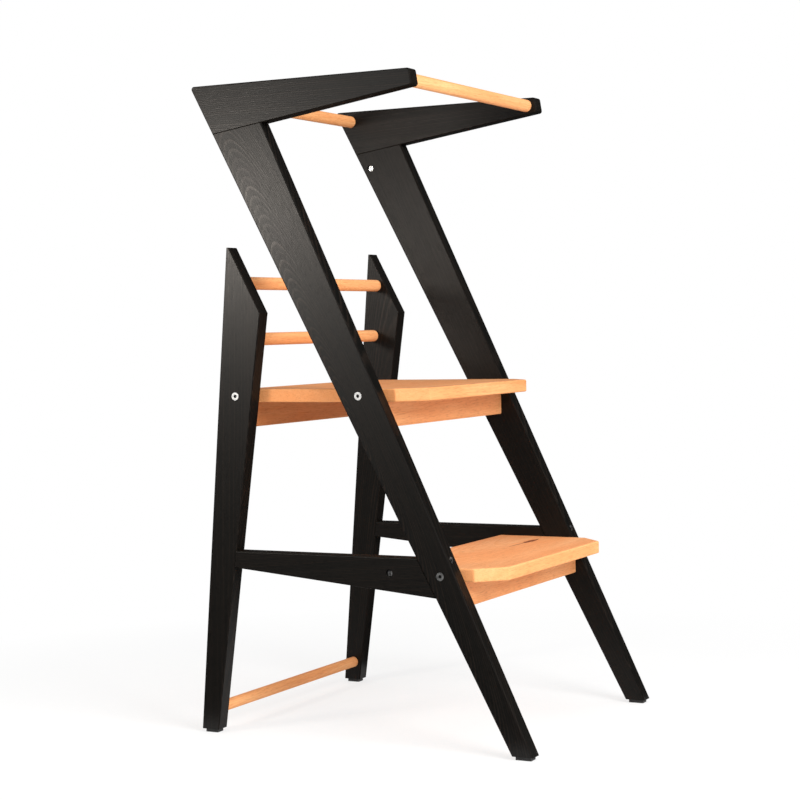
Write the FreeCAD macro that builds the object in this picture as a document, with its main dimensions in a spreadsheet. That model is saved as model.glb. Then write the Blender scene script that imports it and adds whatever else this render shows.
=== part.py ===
"""Toddler kitchen helper stool: a beech step tower with a guarded standing platform.

Millimetres, +Z up, the child climbs in from the front, which is -Y; X is the width and left
is -X. The origin lies on the floor under the centre of the stool's width and depth. Along the
side view a place is given as its distance forward from the heel of the rear foot, and its
height above the floor.
"""
import FreeCAD
import Part
import Sketcher
import os

from FreeCAD import Vector

SIZES = [
    # overall
    ("overall_height", 900, "floor to the top of the arms"),
    ("overall_width", 432, "over both side frames"),
    ("overall_depth", 505, "heel of the rear foot to toe of the front foot"),
    ("frame_thickness", 22, "board of the side frames"),
    ("edge_round", 2, "rounding along the edges of frame boards and rails"),
    ("corner_round", 4, "rounding of the arms' free corners"),
    # rear legs
    ("rear_foot_length", 27, "foot, heel to toe"),
    ("rear_leg_height", 676, "floor to the top of the rear leg"),
    ("rear_back_angle", 5, "degrees, the back edge leans forward"),
    ("rear_front_angle", 8.2, "degrees, the front edge leans forward"),
    ("rear_top_flat", 4, "level flat at the very top"),
    # front legs
    ("front_foot_length", 30, "foot, heel to toe"),
    ("front_back_angle", 27.7, "degrees, the back edge leans rearward"),
    ("front_front_angle", 24.7, "degrees, the front edge leans rearward"),
    # arms
    ("arm_length", 341.5, "top edge, rear corner to tip"),
    ("arm_tip_height", 22.5, "height of the tip"),
    ("arm_tip_angle", 9, "degrees, the tip's face leans forward at its foot"),
    ("arm_underside_angle", 8.4, "degrees, the underside rises toward the tip"),
    # side rails
    ("rail_top", 257, "height of the level top edge"),
    ("rail_rear_height", 23.5, "height of the rail at the rear leg"),
    ("rail_front_height", 52.5, "height of the rail at the front leg"),
    # platform and lower step
    ("platform_top", 480, "standing surface above the floor"),
    ("platform_thickness", 18, "board of the platform"),
    ("platform_rear_setback", 52, "rear edge forward of the rear heel"),
    ("platform_overhang", 54, "front edge ahead of the front legs"),
    ("step_top", 243, "climbing step above the floor"),
    ("step_thickness", 18, "board of the step"),
    ("step_depth", 174.5, "front edge to rear edge"),
    ("step_overhang", 56, "front edge ahead of the front legs"),
    ("corner_cut", 35, "45 degree cut on each front corner"),
    ("board_round", 2.5, "rounding along the boards' edges"),
    ("board_corner_round", 4, "rounding of the boards' upright corners"),
    # aprons under the boards
    ("apron_height", 35, "height of an apron"),
    ("apron_thickness", 18, "thickness of an apron"),
    # round bars
    ("hand_bar_diameter", 18, "bars between the arms"),
    ("back_bar_diameter", 18, "bars between the rear legs, at the back"),
    ("low_bar_diameter", 16, "bar between the rear feet"),
    ("bar_seat_depth", 14, "blind seat in a frame board"),
    ("bar_clearance", 0.1, "radial gap in a seat"),
    ("bar_end_gap", 0.5, "gap at the bottom of a seat"),
    ("front_bar_drop", 12, "centre below the arms' top edge"),
    ("front_bar_setback", 16, "centre behind the tip's face"),
    ("rear_bar_drop", 16, "centre below the arms' top edge"),
    ("rear_bar_setback", 19, "centre ahead of the arms' back edge"),
    ("back_bar_drop", 49, "upper back bar below the rear legs' top"),
    ("back_bar_setback", 17, "centres ahead of the rear legs' back edge"),
    ("low_bar_height", 32.5, "low rear bar above the floor"),
    # wooden pins
    ("pin_diameter", 8, "wooden pins in the joints"),
    ("pin_length", 30, "half of it in each piece"),
    ("pin_clearance", 0.1, "radial gap round a pin"),
    ("pin_end_gap", 0.5, "gap at each end of a pin"),
    ("arm_pin_setback", 54, "pin along the joint from its rear end"),
    ("rail_pin_drop", 24, "pin below the rail bolt's axis"),
    # board screws
    ("screw_head_diameter", 11, "flat round head"),
    ("screw_head_height", 3, "sunk flush with the frame"),
    ("screw_shank_diameter", 7, "shank"),
    ("screw_length", 52, "under the head"),
    ("screw_tip_length", 4, "cone at the end"),
    ("screw_tip_diameter", 2.4, "end of the cone"),
    ("screw_socket_circle", 5.2, "circle round the hexagon socket"),
    ("screw_clearance", 0.15, "radial gap round head and shank"),
    # bolts and barrel nuts
    ("bolt_diameter", 6, "shank"),
    ("bolt_head_diameter", 10, "round head"),
    ("bolt_head_height", 5, "round head"),
    ("bolt_head_sink", 1.2, "head below the board's edge, on its axis"),
    ("bolt_past_nut", 9, "shank beyond the nut's centre"),
    ("bolt_socket_circle", 5.8, "circle round the hexagon socket"),
    ("bolt_clearance", 0.25, "radial gap round head and shank"),
    ("socket_depth", 2.6, "hexagon sockets"),
    ("nut_diameter", 10, "barrel nut"),
    ("nut_length", 16, "barrel nut, along the width"),
    ("nut_clearance", 0.15, "radial gap round a barrel nut"),
    ("nut_slot_width", 1.4, "screwdriver slot"),
    ("nut_slot_depth", 1.5, "screwdriver slot"),
    ("rail_bolt_angle", 12.4, "degrees, the rail bolt rises toward its head"),
    ("rail_nut_setback", 52, "nut behind the front leg's back edge, level"),
    ("rail_nut_drop", 21.5, "nut below the rail's top edge"),
    ("arm_bolt_setback", 21.5, "bolt along the joint from its rear end"),
    ("arm_nut_drop", 25.4, "nut below the joint, square to it"),
    # glides
    ("glide_height", 5, "pad under each foot"),
    ("glide_inset", 4, "pad inside the foot's outline"),
    ("glide_stud_diameter", 5, "stud pressed into the foot"),
    ("glide_stud_length", 12, "stud above the pad"),
    ("glide_clearance", 0.1, "radial gap round the stud, and above it"),
]

SIDES = {"left": -1, "right": 1}
OVERSHOOT = 1  # a cutting tool starts this far outside the face that it enters
EXIT = 10  # a cutting tool that leaves through a slanted face runs this far past it
FLAT_SHARE = 0.4  # a rounding beside a short flat takes at most this share of it

# turns that lay an upright cylinder along +X, along -X, or leave it upright
ALONG_X = "rotation(vector(0; 1; 0); 90)"
AGAINST_X = "rotation(vector(0; 1; 0); -90)"
UPRIGHT = "rotation(vector(0; 1; 0); 0)"

doc = FreeCAD.newDocument("kitchen_helper_stool")


def make_sheet():
    sheet = doc.addObject("Spreadsheet::Sheet", "Sizes")
    for row, (alias, value, note) in enumerate(SIZES, start=1):
        sheet.set(f"A{row}", alias)
        sheet.set(f"B{row}", str(value))
        sheet.setAlias(f"B{row}", alias)
        sheet.set(f"C{row}", note)
    doc.recompute()


def size(alias):
    return f"Sizes.{alias}"


def tangent(alias):
    return f"tan(Sizes.{alias} * 1deg)"


def forward(distance):
    """Y of a place, from its distance forward of the rear heel."""
    return f"(Sizes.overall_depth / 2 - ({distance}))"


# ---------------------------------------------------------------- side view, distances forward

def rear_leg_back(height):
    return f"(({height}) - Sizes.glide_height) * {tangent('rear_back_angle')}"


def rear_leg_front(height):
    rise = f"(({height}) - Sizes.glide_height)"
    return f"Sizes.rear_foot_length + {rise} * {tangent('rear_front_angle')}"


def front_leg_back(height):
    rise = f"(({height}) - Sizes.glide_height)"
    heel = "Sizes.overall_depth - Sizes.front_foot_length"
    return f"{heel} - {rise} * {tangent('front_back_angle')}"


def front_leg_front(height):
    rise = f"(({height}) - Sizes.glide_height)"
    return f"Sizes.overall_depth - {rise} * {tangent('front_front_angle')}"


def rear_leg_middle(height):
    return f"({rear_leg_back(height)} + {rear_leg_front(height)}) / 2"


def front_leg_middle(height):
    return f"({front_leg_back(height)} + {front_leg_front(height)}) / 2"


def arm_tip_top():
    return f"({front_leg_back(size('overall_height'))} + Sizes.arm_length)"


def arm_tip_face(height):
    drop = f"(Sizes.overall_height - ({height}))"
    return f"({arm_tip_top()} + {drop} * {tangent('arm_tip_angle')})"


def arm_tip_low():
    return "(Sizes.overall_height - Sizes.arm_tip_height)"


def joint_height(toe, lean):
    """Height where the arm's underside crosses a leg edge that starts at toe and leans back."""
    slope = tangent("arm_underside_angle")
    reach = f"({arm_tip_face(arm_tip_low())} - ({toe}))"
    both = f"{tangent(lean)} * {slope}"
    return f"(({arm_tip_low()} - {reach} * {slope} + Sizes.glide_height * {both}) / (1 + {both}))"


def joint_rear_height():
    return joint_height("Sizes.overall_depth - Sizes.front_foot_length", "front_back_angle")


def joint_front_height():
    return joint_height("Sizes.overall_depth", "front_front_angle")


def shoulder_height():
    """Where the rear leg's slanted top, parallel to the front leg, meets its front edge."""
    start = f"({rear_leg_back(size('rear_leg_height'))} + Sizes.rear_top_flat)"
    slant = tangent("front_back_angle")
    front = tangent("rear_front_angle")
    top = f"({start} + Sizes.rear_leg_height * {slant} - Sizes.rear_foot_length"
    return f"({top} + Sizes.glide_height * {front}) / ({slant} + {front}))"


def along(distance, height, slope, run):
    """Place that lies run further along a line that rises at slope degrees going forward."""
    angle = f"({slope}) * 1deg"
    return f"({distance}) + ({run}) * cos({angle})", f"({height}) + ({run}) * sin({angle})"


# ---------------------------------------------------------------- places across the width

def outer_face(side):
    return f"({SIDES[side]} * Sizes.overall_width / 2)"


def inner_face(side):
    return f"({SIDES[side]} * (Sizes.overall_width / 2 - Sizes.frame_thickness))"


def middle_plane(side):
    return f"({SIDES[side]} * (Sizes.overall_width - Sizes.frame_thickness) / 2)"


def inner_width():
    return "(Sizes.overall_width - 2 * Sizes.frame_thickness)"


def outward(side):
    return ALONG_X if SIDES[side] > 0 else AGAINST_X


def inward(side):
    return AGAINST_X if SIDES[side] > 0 else ALONG_X


def forward_rising(slope):
    """Turn that lays an upright cylinder forward, rising at slope degrees."""
    return f"rotation(vector(1; 0; 0); 90 - ({slope}))"


# ---------------------------------------------------------------- building blocks

def origin_plane(body, role):
    return next(item for item in body.Origin.OriginFeatures if item.Role == role)


def bound_polygon(sketch, corners):
    """Closed outline whose corners are tied to the sizes; corners are pairs of expressions."""
    count = len(corners)
    spots = [Vector(10 * index, 10 * index * index, 0) for index in range(count)]
    for index in range(count):
        line = Part.LineSegment(spots[index], spots[(index + 1) % count])
        sketch.addGeometry(line)
    for index in range(count):
        joint = Sketcher.Constraint("Coincident", index, 2, (index + 1) % count, 1)
        sketch.addConstraint(joint)
    for index, corner in enumerate(corners):
        start = (spots[index].x, spots[index].y)
        for axis, expression, value in zip("XY", corner, start):
            tie = Sketcher.Constraint(f"Distance{axis}", -1, 1, index, 1, value)
            number = sketch.addConstraint(tie)
            label = f"corner{index}{axis}"
            sketch.renameConstraint(number, label)
            sketch.setExpression(f"Constraints.{label}", expression)


def padded_body(name, plane, corners, offset, length):
    """Body that pads the outline from offset along the plane's normal."""
    body = doc.addObject("PartDesign::Body", name)
    sketch = body.newObject("Sketcher::SketchObject", f"{name}_outline")
    sketch.AttachmentSupport = [(origin_plane(body, plane), "")]
    sketch.MapMode = "FlatFace"
    sketch.setExpression("AttachmentOffset.Base.z", offset)
    bound_polygon(sketch, corners)
    pad = body.newObject("PartDesign::Pad", f"{name}_pad")
    pad.Profile = sketch
    pad.setExpression("Length", length)
    doc.recompute()
    return body


def round_edges(body, wanted, radius, label):
    """Rounds each edge that wanted(direction, middle) accepts."""
    base = body.Tip
    names = []
    for index, edge in enumerate(base.Shape.Edges, start=1):
        first = edge.valueAt(edge.FirstParameter)
        last = edge.valueAt(edge.LastParameter)
        direction = (last - first).normalize()
        if wanted(direction, edge.CenterOfMass):
            names.append(f"Edge{index}")
    fillet = body.newObject("PartDesign::Fillet", f"{body.Name}_{label}")
    fillet.Base = (base, names)
    fillet.setExpression("Radius", radius)
    doc.recompute()


def cylinder(name, diameter, length, place, turn):
    """place is (x, distance forward, height) of the centre of the end that it grows from."""
    x, distance, height = place
    bar = doc.addObject("Part::Cylinder", name)
    bar.setExpression("Radius", f"({diameter}) / 2")
    bar.setExpression("Height", length)
    bar.setExpression("Placement", f"placement(vector({x}; {forward(distance)}; {height}); {turn})")
    return bar


def prism(name, circle, length, place, turn):
    x, distance, height = place
    hexagon = doc.addObject("Part::Prism", name)
    hexagon.Polygon = 6
    hexagon.setExpression("Circumradius", f"({circle}) / 2")
    hexagon.setExpression("Height", length)
    hexagon.setExpression(
        "Placement", f"placement(vector({x}; {forward(distance)}; {height}); {turn})")
    return hexagon


def joined(name, shapes):
    union = doc.addObject("Part::MultiFuse", name)
    union.Shapes = shapes
    return union


def cut_from(name, base, tools):
    """Piece that is left of base once the tools are taken away."""
    cut = doc.addObject("Part::Cut", name)
    cut.Base = base
    cut.Tool = joined(f"{name}_cuts", tools) if len(tools) > 1 else tools[0]
    return cut


def drilled_across(name, face, side, facing, diameter, depth, distance, height):
    """Blind hole along the width, from the frame's inner or outer face."""
    into = SIDES[side] if facing == "inner" else -SIDES[side]
    mouth = f"({face} - {into} * {OVERSHOOT})"
    turn = ALONG_X if into > 0 else AGAINST_X
    return cylinder(name, diameter, f"{depth} + {OVERSHOOT}", (mouth, distance, height), turn)


# ---------------------------------------------------------------- shared places

def platform_middle():
    return "(Sizes.platform_top - Sizes.platform_thickness / 2)"


def step_middle():
    return "(Sizes.step_top - Sizes.step_thickness / 2)"


def platform_apron_middle():
    return "(Sizes.platform_top - Sizes.platform_thickness - Sizes.apron_height / 2)"


def step_apron_middle():
    return "(Sizes.step_top - Sizes.step_thickness - Sizes.apron_height / 2)"


def front_bar_place():
    height = "(Sizes.overall_height - Sizes.front_bar_drop)"
    return f"{arm_tip_face(height)} - Sizes.front_bar_setback", height


def rear_bar_place():
    height = "(Sizes.overall_height - Sizes.rear_bar_drop)"
    return f"{front_leg_back(height)} + Sizes.rear_bar_setback", height


def back_bar_place(height):
    return f"{rear_leg_back(height)} + Sizes.back_bar_setback", height


def upper_back_bar_height():
    return "(Sizes.rear_leg_height - Sizes.back_bar_drop)"


def lower_back_bar_height():
    """Middle of the gap between the platform and the upper back bar's underside."""
    gap_top = f"{upper_back_bar_height()} - Sizes.back_bar_diameter / 2"
    return f"((Sizes.platform_top + {gap_top}) / 2)"


def low_bar_place():
    height = "Sizes.low_bar_height"
    return rear_leg_middle(height), height


def joint_place(setback):
    """Place on the joint of arm and front leg, setback from its rear end."""
    height = joint_rear_height()
    return along(front_leg_back(height), height, size("arm_underside_angle"), setback)


def square_to_joint(setback, rise):
    """Place off the joint: setback along it, then rise square to it."""
    distance, height = joint_place(setback)
    return along(distance, height, "Sizes.arm_underside_angle + 90", rise)


def arm_nut_place():
    return square_to_joint("Sizes.arm_bolt_setback", "-Sizes.arm_nut_drop")


def arm_bolt_rise():
    """From the barrel nut, square to the joint, to the arm's top edge."""
    height = arm_nut_place()[1]
    return f"((Sizes.overall_height - ({height})) / cos(Sizes.arm_underside_angle * 1deg))"


def rail_nut_place():
    height = "(Sizes.rail_top - Sizes.rail_nut_drop)"
    return f"({front_leg_back(height)} - Sizes.rail_nut_setback)", height


def rail_line_run(toe, lean, drop):
    """From the nut, along a line drop below the bolt's axis, to a leaning leg edge."""
    slope = "(Sizes.rail_bolt_angle * 1deg)"
    distance, height = along(*rail_nut_place(), "Sizes.rail_bolt_angle - 90", drop)
    ahead = f"({toe}) - ({height} - Sizes.glide_height) * {tangent(lean)} - ({distance})"
    return f"(({ahead}) / (cos{slope} + sin{slope} * {tangent(lean)}))"


def rail_bolt_run():
    """From the barrel nut to the front leg's front edge."""
    return rail_line_run("Sizes.overall_depth", "front_front_angle", "0")


def rail_pin_place():
    """Where the pin below the rail bolt crosses the front leg's back edge."""
    drop = "Sizes.rail_pin_drop"
    heel = "Sizes.overall_depth - Sizes.front_foot_length"
    start = along(*rail_nut_place(), "Sizes.rail_bolt_angle - 90", drop)
    return along(*start, size("rail_bolt_angle"), rail_line_run(heel, "front_back_angle", drop))


def rail_rear_pin_place():
    height = "(Sizes.rail_top - Sizes.rail_rear_height / 2)"
    return rear_leg_front(height), height


# apron, the leg that carries it, and its height
APRONS = {
    "platform_front_apron": (front_leg_middle, platform_apron_middle),
    "platform_rear_apron": (rear_leg_middle, platform_apron_middle),
    "step_apron": (front_leg_middle, step_apron_middle),
}

# screw, the leg that it passes, and the middle of the board that it holds
SCREWS = {
    "platform_front_screw": (front_leg_middle, platform_middle),
    "platform_rear_screw": (rear_leg_middle, platform_middle),
    "step_screw": (front_leg_middle, step_middle),
}

# round bar, its place in the side view, and its diameter
BARS = {
    "top_front_bar": (front_bar_place(), "hand_bar_diameter"),
    "top_rear_bar": (rear_bar_place(), "hand_bar_diameter"),
    "back_bar_upper": (back_bar_place(upper_back_bar_height()), "back_bar_diameter"),
    "back_bar_lower": (back_bar_place(lower_back_bar_height()), "back_bar_diameter"),
    "low_rear_bar": (low_bar_place(), "low_bar_diameter"),
}


# ---------------------------------------------------------------- holes

def bar_seat(owner, side, bar):
    (distance, height), diameter = BARS[bar]
    wide = f"(Sizes.{diameter} + 2 * Sizes.bar_clearance)"
    return drilled_across(f"{owner}_{bar}_seat", inner_face(side), side, "inner",
                          wide, "Sizes.bar_seat_depth", distance, height)


def pin_hole_width():
    return "(Sizes.pin_diameter + 2 * Sizes.pin_clearance)"


def apron_pin_hole(owner, side, apron):
    leg_middle, middle = APRONS[apron]
    deep = "(Sizes.pin_length / 2 + Sizes.pin_end_gap)"
    return drilled_across(f"{owner}_{apron}_pin_hole", inner_face(side), side, "inner",
                          pin_hole_width(), deep, leg_middle(middle()), middle())


def screw_holes(owner, side, screw):
    """Hole through the frame board with a flat seat for the screw's head."""
    leg_middle, middle = SCREWS[screw]
    distance = leg_middle(middle())
    shank = "(Sizes.screw_shank_diameter + 2 * Sizes.screw_clearance)"
    head = "(Sizes.screw_head_diameter + 2 * Sizes.screw_clearance)"
    through = f"Sizes.frame_thickness + {OVERSHOOT}"
    return [
        drilled_across(f"{owner}_{screw}_hole", outer_face(side), side, "outer",
                       shank, through, distance, middle()),
        drilled_across(f"{owner}_{screw}_head_seat", outer_face(side), side, "outer",
                       head, "Sizes.screw_head_height", distance, middle()),
    ]


def hole_in_plane(name, side, diameter, length, place, slope):
    """Hole in the frame board's middle plane, from place along slope."""
    return cylinder(name, diameter, length, (middle_plane(side), *place), forward_rising(slope))


def bolt_hole_width():
    return "(Sizes.bolt_diameter + 2 * Sizes.bolt_clearance)"


def arm_bolt_hole(owner, side):
    """From below the barrel nut, square to the joint, out of the arm's top edge."""
    spare = "(Sizes.bolt_past_nut + Sizes.pin_end_gap)"
    start = square_to_joint("Sizes.arm_bolt_setback", f"-Sizes.arm_nut_drop - {spare}")
    length = f"{arm_bolt_rise()} + {spare} + {EXIT}"
    return hole_in_plane(f"{owner}_arm_bolt_hole", side, bolt_hole_width(), length, start,
                         "Sizes.arm_underside_angle + 90")


def rail_bolt_hole(owner, side):
    """From behind the barrel nut, along the rail bolt, out of the leg's front edge."""
    spare = "(Sizes.bolt_past_nut + Sizes.pin_end_gap)"
    start = along(*rail_nut_place(), size("rail_bolt_angle"), f"-{spare}")
    length = f"{rail_bolt_run()} + {spare} + {EXIT}"
    return hole_in_plane(f"{owner}_rail_bolt_hole", side, bolt_hole_width(), length, start,
                         size("rail_bolt_angle"))


def head_seat(name, side, place, slope):
    """Seat for a bolt's head; place is where the bolt's axis leaves the board."""
    wide = "(Sizes.bolt_head_diameter + 2 * Sizes.bolt_clearance)"
    deep = "(Sizes.bolt_head_height + Sizes.bolt_head_sink)"
    start = along(*place, slope, f"-{deep}")
    return hole_in_plane(name, side, wide, f"{deep} + {EXIT}", start, slope)


def nut_hole(name, side, facing, place):
    face = inner_face(side) if facing == "inner" else outer_face(side)
    wide = "(Sizes.nut_diameter + 2 * Sizes.nut_clearance)"
    deep = "((Sizes.frame_thickness + Sizes.nut_length) / 2)"
    return drilled_across(name, face, side, facing, wide, deep, *place)


def pin_hole_in_plane(name, side, place, slope):
    """Hole for a pin that is half in each piece, centred on the joint at place."""
    length = "(Sizes.pin_length + 2 * Sizes.pin_end_gap)"
    start = along(*place, slope, f"-{length} / 2")
    return hole_in_plane(name, side, pin_hole_width(), length, start, slope)


def glide_stud_hole(owner, side, foot_middle):
    wide = "(Sizes.glide_stud_diameter + 2 * Sizes.glide_clearance)"
    deep = f"(Sizes.glide_stud_length + Sizes.glide_clearance + {OVERSHOOT})"
    place = (middle_plane(side), foot_middle, f"(Sizes.glide_height - {OVERSHOOT})")
    return cylinder(f"{owner}_glide_hole", wide, deep, place, UPRIGHT)


# ---------------------------------------------------------------- side frames

def is_steep(direction, middle):
    return abs(direction.z) > 0.5


def is_shallow(direction, middle):
    return abs(direction.y) > 0.5


def lies_in_side_view(direction, middle):
    return abs(direction.x) < 0.5


def frame_board(name, side, outline):
    corners = [(forward(distance), height) for distance, height in outline]
    start = outer_face(side) if SIDES[side] < 0 else inner_face(side)
    return padded_body(f"{name}_blank", "YZ_Plane", corners, start, size("frame_thickness"))


def front_leg(side):
    name = f"front_leg_{side}"
    foot = size("glide_height")
    rear = joint_rear_height()
    front = joint_front_height()
    blank = frame_board(name, side, [
        (front_leg_back(foot), foot),
        (front_leg_front(foot), foot),
        (front_leg_front(front), front),
        (front_leg_back(rear), rear),
    ])
    round_edges(blank, is_steep, size("edge_round"), "edges")
    upright = "Sizes.arm_underside_angle + 90"
    rail_front = along(*rail_nut_place(), size("rail_bolt_angle"), rail_bolt_run())
    holes = [
        arm_bolt_hole(name, side),
        nut_hole(f"{name}_arm_nut_hole", side, "inner", arm_nut_place()),
        pin_hole_in_plane(f"{name}_arm_pin_hole", side, joint_place("Sizes.arm_pin_setback"), upright),
        rail_bolt_hole(name, side),
        head_seat(f"{name}_rail_bolt_head_seat", side, rail_front, size("rail_bolt_angle")),
        pin_hole_in_plane(f"{name}_rail_pin_hole", side, rail_pin_place(), size("rail_bolt_angle")),
        apron_pin_hole(name, side, "platform_front_apron"),
        apron_pin_hole(name, side, "step_apron"),
        glide_stud_hole(name, side, front_leg_middle(foot)),
    ]
    holes += screw_holes(name, side, "platform_front_screw")
    holes += screw_holes(name, side, "step_screw")
    return cut_from(name, blank, holes)


def rear_leg(side):
    name = f"rear_leg_{side}"
    foot = size("glide_height")
    top = size("rear_leg_height")
    shoulder = shoulder_height()
    blank = frame_board(name, side, [
        (rear_leg_back(foot), foot),
        (rear_leg_front(foot), foot),
        (rear_leg_front(shoulder), shoulder),
        (f"{rear_leg_back(top)} + Sizes.rear_top_flat", top),
        (rear_leg_back(top), top),
    ])
    round_edges(blank, is_steep, f"min(Sizes.edge_round; {FLAT_SHARE} * Sizes.rear_top_flat)", "edges")
    holes = [bar_seat(name, side, bar) for bar in ("back_bar_upper", "back_bar_lower", "low_rear_bar")]
    holes += screw_holes(name, side, "platform_rear_screw")
    holes += [
        apron_pin_hole(name, side, "platform_rear_apron"),
        pin_hole_in_plane(f"{name}_rail_pin_hole", side, rail_rear_pin_place(), "0"),
        glide_stud_hole(name, side, rear_leg_middle(foot)),
    ]
    return cut_from(name, blank, holes)


def arm(side):
    name = f"arm_{side}"
    top = size("overall_height")
    low = arm_tip_low()
    rear = joint_rear_height()
    blank = frame_board(name, side, [
        (front_leg_back(rear), rear),
        (arm_tip_face(low), low),
        (arm_tip_top(), top),
        (front_leg_back(top), top),
    ])
    joint_corner = blank.Shape.BoundBox.ZMin + OVERSHOOT
    free_corner = lambda direction, middle: abs(direction.x) > 0.5 and middle.z > joint_corner
    round_edges(blank, free_corner, size("corner_round"), "corners")
    round_edges(blank, lies_in_side_view, size("edge_round"), "edges")
    upright = "Sizes.arm_underside_angle + 90"
    bolt_top = square_to_joint("Sizes.arm_bolt_setback", f"{arm_bolt_rise()} - Sizes.arm_nut_drop")
    holes = [
        bar_seat(name, side, "top_front_bar"),
        bar_seat(name, side, "top_rear_bar"),
        arm_bolt_hole(name, side),
        head_seat(f"{name}_bolt_head_seat", side, bolt_top, upright),
        pin_hole_in_plane(f"{name}_pin_hole", side, joint_place("Sizes.arm_pin_setback"), upright),
    ]
    return cut_from(name, blank, holes)


def side_rail(side):
    name = f"side_rail_{side}"
    top = size("rail_top")
    rear_low = "(Sizes.rail_top - Sizes.rail_rear_height)"
    front_low = "(Sizes.rail_top - Sizes.rail_front_height)"
    blank = frame_board(name, side, [
        (rear_leg_front(rear_low), rear_low),
        (front_leg_back(front_low), front_low),
        (front_leg_back(top), top),
        (rear_leg_front(top), top),
    ])
    round_edges(blank, is_shallow, size("edge_round"), "edges")
    holes = [
        rail_bolt_hole(name, side),
        nut_hole(f"{name}_nut_hole", side, "outer", rail_nut_place()),
        pin_hole_in_plane(f"{name}_front_pin_hole", side, rail_pin_place(), size("rail_bolt_angle")),
        pin_hole_in_plane(f"{name}_rear_pin_hole", side, rail_rear_pin_place(), "0"),
    ]
    return cut_from(name, blank, holes)


# ---------------------------------------------------------------- boards and aprons

def is_upright(direction, middle):
    return abs(direction.z) > 0.5


def is_level(direction, middle):
    return abs(direction.z) < 0.5


def pilot_holes(owner, screw):
    """Holes in the board's side faces for the screws that come through the frames."""
    leg_middle, middle = SCREWS[screw]
    wide = "(Sizes.screw_shank_diameter + 2 * Sizes.screw_clearance)"
    reach = "Sizes.screw_length + Sizes.screw_head_height - Sizes.frame_thickness"
    deep = f"({reach} + Sizes.pin_end_gap + {OVERSHOOT})"
    holes = []
    for side in SIDES:
        mouth = f"({inner_face(side)} + {SIDES[side]} * {OVERSHOOT})"
        place = (mouth, leg_middle(middle()), middle())
        holes.append(cylinder(f"{owner}_{screw}_{side}_hole", wide, deep, place, inward(side)))
    return holes


def tread(name, top, thickness, front, rear, screws):
    """Board between the side frames, its front corners cut at 45 degrees."""
    half = f"{inner_width()} / 2"
    narrow = f"({half} - Sizes.corner_cut)"
    shoulder = f"({front} - Sizes.corner_cut)"
    outline = [(f"-{half}", rear), (half, rear), (half, shoulder), (narrow, front),
               (f"-{narrow}", front), (f"-{half}", shoulder)]
    corners = [(x, forward(distance)) for x, distance in outline]
    blank = padded_body(f"{name}_blank", "XY_Plane", corners, f"{top} - {thickness}", thickness)
    round_edges(blank, is_upright, size("board_corner_round"), "corners")
    round_edges(blank, is_level, size("board_round"), "edges")
    holes = [hole for screw in screws for hole in pilot_holes(name, screw)]
    return cut_from(name, blank, holes)


def platform():
    front = f"({front_leg_front(size('platform_top'))} + Sizes.platform_overhang)"
    return tread("platform", size("platform_top"), size("platform_thickness"), front,
                 size("platform_rear_setback"), ["platform_front_screw", "platform_rear_screw"])


def lower_step():
    front = f"({front_leg_front(size('step_top'))} + Sizes.step_overhang)"
    return tread("lower_step", size("step_top"), size("step_thickness"), front,
                 f"({front} - Sizes.step_depth)", ["step_screw"])


def apron(name):
    """Rail under a board, between the side frames, pinned to them at both ends."""
    leg_middle, middle = APRONS[name]
    centre = leg_middle(middle())
    rear = f"({centre} - Sizes.apron_thickness / 2)"
    front = f"({centre} + Sizes.apron_thickness / 2)"
    low = f"({middle()} - Sizes.apron_height / 2)"
    high = f"({middle()} + Sizes.apron_height / 2)"
    corners = [(forward(rear), low), (forward(front), low), (forward(front), high),
               (forward(rear), high)]
    start = f"-{inner_width()} / 2"
    blank = padded_body(f"{name}_blank", "YZ_Plane", corners, start, inner_width())
    half_way = blank.Shape.BoundBox.Center.z
    low_edge = lambda direction, place: abs(direction.x) > 0.5 and place.z < half_way
    round_edges(blank, low_edge, size("edge_round"), "edges")
    deep = f"(Sizes.pin_length / 2 + Sizes.pin_end_gap + {OVERSHOOT})"
    holes = []
    for side in SIDES:
        mouth = f"({inner_face(side)} + {SIDES[side]} * {OVERSHOOT})"
        place = (mouth, centre, middle())
        holes.append(cylinder(f"{name}_{side}_pin_hole", pin_hole_width(), deep, place, inward(side)))
    return cut_from(name, blank, holes)


# ---------------------------------------------------------------- round bars and pins

def round_bar(name):
    (distance, height), diameter = BARS[name]
    seat = "(Sizes.bar_seat_depth - Sizes.bar_end_gap)"
    start = f"(-{inner_width()} / 2 - {seat})"
    length = f"{inner_width()} + 2 * {seat}"
    return cylinder(name, size(diameter), length, (start, distance, height), ALONG_X)


def pin_across(name, side, place):
    """Wooden pin along the width, half in the frame board and half in the apron."""
    inside = f"({inner_face(side)} - {SIDES[side]} * Sizes.pin_length / 2)"
    return cylinder(name, size("pin_diameter"), size("pin_length"), (inside, *place), outward(side))


def pin_in_plane(name, side, place, slope):
    """Wooden pin in the frame board's middle plane, centred on the joint at place."""
    start = along(*place, slope, "-Sizes.pin_length / 2")
    return cylinder(name, size("pin_diameter"), size("pin_length"),
                    (middle_plane(side), *start), forward_rising(slope))


def pins(side):
    upright = "Sizes.arm_underside_angle + 90"
    pieces = [
        pin_in_plane(f"arm_pin_{side}", side, joint_place("Sizes.arm_pin_setback"), upright),
        pin_in_plane(f"rail_front_pin_{side}", side, rail_pin_place(), size("rail_bolt_angle")),
        pin_in_plane(f"rail_rear_pin_{side}", side, rail_rear_pin_place(), "0"),
    ]
    for apron_name, (leg_middle, middle) in APRONS.items():
        place = (leg_middle(middle()), middle())
        pieces.append(pin_across(f"{apron_name}_pin_{side}", side, place))
    return pieces


# ---------------------------------------------------------------- fasteners

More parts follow.
